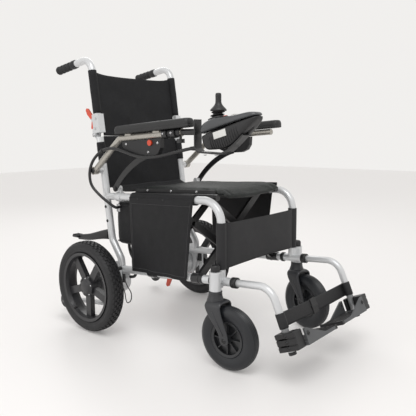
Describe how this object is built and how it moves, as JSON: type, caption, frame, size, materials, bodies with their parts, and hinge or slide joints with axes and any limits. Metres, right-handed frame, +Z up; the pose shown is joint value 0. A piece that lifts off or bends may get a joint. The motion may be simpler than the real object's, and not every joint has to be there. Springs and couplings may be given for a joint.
{
  "type": "folding power wheelchair",
  "caption": "Folding electric wheelchair: tubular side frames on a cross brace, hub-side motors, swivel casters, flip-up armrests and footplates, joystick on the right arm",
  "frame": {"origin": "centre of the bounding box at floor level", "axes": "+Z is up, the chair faces -Y, the chair's own left is +X"},
  "size_m": [0.626, 1.0709, 0.9536],
  "materials": {
    "frame_silver": "satin",
    "cane_silver": "satin",
    "motor_silver": "satin",
    "panel_fabric": "matte",
    "black_metal": "satin",
    "red_plastic": "gloss",
    "small_wheel": "matte",
    "drive_rim": "satin",
    "drive_tyre": "matte",
    "fork_plastic": "satin",
    "caster_rim": "satin",
    "caster_tyre": "satin",
    "footplate_grey": "matte",
    "grip_rubber": "matte",
    "champagne_metal": "satin",
    "pad_foam": "matte",
    "black_plastic": "satin",
    "black_nylon": "matte",
    "webbing": "matte",
    "seat_fabric": "satin",
    "cable_black": "gloss",
    "controller_black": "satin",
    "controller_grey": "satin",
    "key_pale": "satin"
  },
  "bodies": {
    "right_frame": {"right_side_frame": "frame_silver", "right_side_panel": "panel_fabric", "right_arm_stay": "black_metal", "right_motor": "motor_silver", "right_anti_tip_arm": "frame_silver", "right_footrest_tube": "frame_silver", "battery": "black_nylon", "battery_cables": "cable_black", "calf_band": "webbing", "calf_strap": "webbing", "back_upholstery_lower": "black_nylon"},
    "left_frame": {"left_side_frame": "frame_silver", "left_side_panel": "panel_fabric", "left_arm_stay": "black_metal", "left_motor": "motor_silver", "left_anti_tip_arm": "frame_silver", "left_footrest_tube": "frame_silver"},
    "right_brace": {"right_brace": "black_metal", "seat_upholstery": "seat_fabric"},
    "left_brace": {"left_brace": "black_metal"},
    "right_back": {"right_back_cane": "cane_silver", "right_grip": "grip_rubber", "back_upholstery_upper": "black_nylon"},
    "left_back": {"left_back_cane": "cane_silver", "left_grip": "grip_rubber"},
    "right_arm": {"right_arm_tube": "champagne_metal", "right_arm_pad": "pad_foam", "right_arm_guard": "black_plastic", "controller_bracket": "black_metal", "controller_base": "controller_black", "controller_top": "controller_grey", "controller_cable": "cable_black"},
    "left_arm": {"left_arm_tube": "champagne_metal", "left_arm_pad": "pad_foam", "left_arm_guard": "black_plastic"},
    "joystick_gimbal": {"joystick_gimbal": "controller_black"},
    "joystick": {"joystick": "controller_black"},
    "power_button": {"power_button": "red_plastic"},
    "horn_button": {"horn_button": "key_pale"},
    "speed_rocker": {"speed_rocker": "key_pale"},
    "right_drive_wheel": {"right_drive_rim": "drive_rim", "right_drive_tyre": "drive_tyre"},
    "right_caster_swivel": {"right_caster_fork": "fork_plastic"},
    "right_caster_wheel": {"right_caster_rim": "caster_rim", "right_caster_tyre": "caster_tyre"},
    "right_anti_tip_wheel": {"right_anti_tip_wheel": "small_wheel"},
    "right_clutch_lever": {"right_clutch_lever": "red_plastic"},
    "right_footplate": {"right_footplate": "footplate_grey"},
    "right_back_lever": {"right_back_lever": "red_plastic"},
    "right_arm_button": {"right_arm_button": "red_plastic"},
    "left_drive_wheel": {"left_drive_rim": "drive_rim", "left_drive_tyre": "drive_tyre"},
    "left_caster_swivel": {"left_caster_fork": "fork_plastic"},
    "left_caster_wheel": {"left_caster_rim": "caster_rim", "left_caster_tyre": "caster_tyre"},
    "left_anti_tip_wheel": {"left_anti_tip_wheel": "small_wheel"},
    "left_clutch_lever": {"left_clutch_lever": "red_plastic"},
    "left_footplate": {"left_footplate": "footplate_grey"},
    "left_back_lever": {"left_back_lever": "red_plastic"},
    "left_arm_button": {"left_arm_button": "red_plastic"}
  },
  "joints": [
    {"name": "frame_fold", "type": "hinge", "parent": "right_frame", "child": "right_brace", "pos_m": [-0.195, -0.07209, 0.23496], "axis": [0, -0.9969, 0.079], "range_deg": [0, 36], "deforming": ["seat_upholstery", "back_upholstery_upper", "back_upholstery_lower", "calf_band", "calf_strap"]},
    {"name": "brace_cross", "type": "hinge", "parent": "right_brace", "child": "left_brace", "pos_m": [0, -0.06121, 0.37222], "axis": [0, -0.9969, 0.079], "range_deg": [-72, 0]},
    {"name": "left_frame_fold", "type": "hinge", "parent": "left_brace", "child": "left_frame", "pos_m": [0.195, -0.07209, 0.23496], "axis": [0, -0.9969, 0.079], "range_deg": [0, 36]},
    {"name": "right_drive_spin", "type": "hinge", "parent": "right_frame", "child": "right_drive_wheel", "pos_m": [-0.285, 0.27291, 0.159], "axis": [1, 0, 0], "continuous": true},
    {"name": "right_clutch_turn", "type": "hinge", "parent": "right_frame", "child": "right_clutch_lever", "pos_m": [-0.135, 0.27291, 0.159], "axis": [1, 0, 0], "range_deg": [0, 35]},
    {"name": "right_caster_swivel_turn", "type": "hinge", "parent": "right_frame", "child": "right_caster_swivel", "pos_m": [-0.2257, -0.24909, 0.25], "axis": [0, 0, 1], "continuous": true},
    {"name": "right_caster_spin", "type": "hinge", "parent": "right_caster_swivel", "child": "right_caster_wheel", "pos_m": [-0.22221, -0.29897, 0.095], "axis": [0.9976, 0.0698, 0], "continuous": true},
    {"name": "right_anti_tip_spin", "type": "hinge", "parent": "right_frame", "child": "right_anti_tip_wheel", "pos_m": [-0.236, 0.49491, 0.05], "axis": [1, 0, 0], "continuous": true},
    {"name": "right_footplate_flip", "type": "hinge", "parent": "right_frame", "child": "right_footplate", "pos_m": [-0.179, -0.48575, 0.11211], "axis": [0, -0.9211, 0.3893], "range_deg": [0, 90]},
    {"name": "right_back_fold", "type": "hinge", "parent": "right_frame", "child": "right_back", "pos_m": [-0.195, 0.32091, 0.68], "axis": [-1, 0, 0], "range_deg": [0, 90]},
    {"name": "right_back_release", "type": "hinge", "parent": "right_back", "child": "right_back_lever", "pos_m": [-0.195, 0.33491, 0.733], "axis": [-1, 0, 0], "range_deg": [0, 12], "stiffness_Nm_per_rad": 0.5},
    {"name": "right_arm_flip", "type": "hinge", "parent": "right_frame", "child": "right_arm", "pos_m": [-0.232, 0.28791, 0.558], "axis": [-1, 0, 0], "range_deg": [0, 85], "deforming": ["controller_cable"]},
    {"name": "right_arm_button_press", "type": "slide", "parent": "right_arm", "child": "right_arm_button", "axis": [1, 0, 0], "range_m": [0, 0.003], "stiffness_N_per_m": 400},
    {"name": "left_drive_spin", "type": "hinge", "parent": "left_frame", "child": "left_drive_wheel", "pos_m": [0.285, 0.27291, 0.159], "axis": [1, 0, 0], "continuous": true},
    {"name": "left_clutch_turn", "type": "hinge", "parent": "left_frame", "child": "left_clutch_lever", "pos_m": [0.135, 0.27291, 0.159], "axis": [1, 0, 0], "range_deg": [0, 35]},
    {"name": "left_caster_swivel_turn", "type": "hinge", "parent": "left_frame", "child": "left_caster_swivel", "pos_m": [0.2257, -0.24909, 0.25], "axis": [0, 0, 1], "continuous": true},
    {"name": "left_caster_spin", "type": "hinge", "parent": "left_caster_swivel", "child": "left_caster_wheel", "pos_m": [0.2153, -0.298, 0.095], "axis": [0.9781, -0.2079, 0], "continuous": true},
    {"name": "left_anti_tip_spin", "type": "hinge", "parent": "left_frame", "child": "left_anti_tip_wheel", "pos_m": [0.236, 0.49491, 0.05], "axis": [1, 0, 0], "continuous": true},
    {"name": "left_footplate_flip", "type": "hinge", "parent": "left_frame", "child": "left_footplate", "pos_m": [0.179, -0.48575, 0.11211], "axis": [0, 0.9211, -0.3893], "range_deg": [0, 90]},
    {"name": "left_back_fold", "type": "hinge", "parent": "left_frame", "child": "left_back", "pos_m": [0.195, 0.32091, 0.68], "axis": [-1, 0, 0], "range_deg": [0, 90]},
    {"name": "left_back_release", "type": "hinge", "parent": "left_back", "child": "left_back_lever", "pos_m": [0.195, 0.33491, 0.733], "axis": [-1, 0, 0], "range_deg": [0, 12], "stiffness_Nm_per_rad": 0.5},
    {"name": "left_arm_flip", "type": "hinge", "parent": "left_frame", "child": "left_arm", "pos_m": [0.232, 0.28791, 0.558], "axis": [-1, 0, 0], "range_deg": [0, 85]},
    {"name": "left_arm_button_press", "type": "slide", "parent": "left_arm", "child": "left_arm_button", "axis": [-1, 0, 0], "range_m": [0, 0.003], "stiffness_N_per_m": 400},
    {"name": "joystick_fore_aft", "type": "hinge", "parent": "right_arm", "child": "joystick_gimbal", "pos_m": [-0.221, -0.26086, 0.70167], "axis": [1, 0, 0], "range_deg": [-15, 15], "stiffness_Nm_per_rad": 0.3},
    {"name": "joystick_side", "type": "hinge", "parent": "joystick_gimbal", "child": "joystick", "pos_m": [-0.221, -0.26086, 0.70167], "axis": [0, 0.9681, -0.2504], "range_deg": [-15, 15], "stiffness_Nm_per_rad": 0.3},
    {"name": "power_press", "type": "slide", "parent": "right_arm", "child": "power_button", "axis": [0, -0.2504, -0.9681], "range_m": [0, 0.001], "stiffness_N_per_m": 800},
    {"name": "horn_press", "type": "slide", "parent": "right_arm", "child": "horn_button", "axis": [0, -0.2504, -0.9681], "range_m": [0, 0.001], "stiffness_N_per_m": 800},
    {"name": "speed_rock", "type": "hinge", "parent": "right_arm", "child": "speed_rocker", "pos_m": [-0.221, -0.32271, 0.72613], "axis": [0, 0.9681, -0.2504], "range_deg": [-4, 4], "stiffness_Nm_per_rad": 0.4}
  ],
  "couplings": [
    {"joint": "brace_cross", "follows": "frame_fold", "ratio": -2},
    {"joint": "left_frame_fold", "follows": "frame_fold", "ratio": 1},
    {"joint": "right_footplate_flip", "follows": "frame_fold", "ratio": 2.5},
    {"joint": "left_footplate_flip", "follows": "frame_fold", "ratio": 2.5},
    {"joint": "left_back_fold", "follows": "right_back_fold", "ratio": 1}
  ]
}
